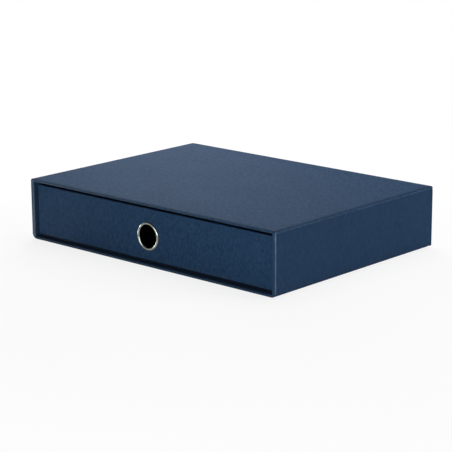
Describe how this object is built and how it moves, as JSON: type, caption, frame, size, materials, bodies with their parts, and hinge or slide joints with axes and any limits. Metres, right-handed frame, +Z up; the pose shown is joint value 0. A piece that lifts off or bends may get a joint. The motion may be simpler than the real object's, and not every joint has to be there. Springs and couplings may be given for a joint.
{
  "type": "document drawer box",
  "caption": "Low paper-covered greyboard case, open at the front, with a pull-out drawer for A4 papers and a metal finger ring in its face.",
  "frame": {"origin": "middle of the case's footprint, on the surface that it stands on", "axes": "+X to the right along the drawer front, +Y from the front to the back, +Z up"},
  "size_m": [0.335, 0.245, 0.064],
  "materials": {
    "cover_paper": "matte",
    "lining_paper": "matte",
    "greyboard": "matte",
    "stay_tape": "matte",
    "nickel_plate": "polished"
  },
  "bodies": {
    "case": {"shell_board": "greyboard", "left_liner_board": "greyboard", "right_liner_board": "greyboard", "back_board": "greyboard", "top_board": "greyboard", "shell_cover_paper": "cover_paper", "top_cover_paper": "cover_paper", "back_cover_paper": "cover_paper", "base_sheet": "cover_paper", "case_lining": "lining_paper", "back_lining": "lining_paper", "ceiling_lining": "lining_paper"},
    "drawer": {"tray_board": "greyboard", "tray_corner_stays": "stay_tape", "tray_cover_paper": "cover_paper", "tray_base_sheet": "cover_paper", "tray_wall_lining": "lining_paper", "tray_floor_lining": "lining_paper", "face_board": "greyboard", "face_cover_paper": "cover_paper", "eyelet_ring": "nickel_plate", "eyelet_washer": "nickel_plate"}
  },
  "joints": [
    {"name": "drawer_slide", "type": "slide", "parent": "case", "child": "drawer", "axis": [0, -1, 0], "range_m": [0, 0.245]}
  ]
}
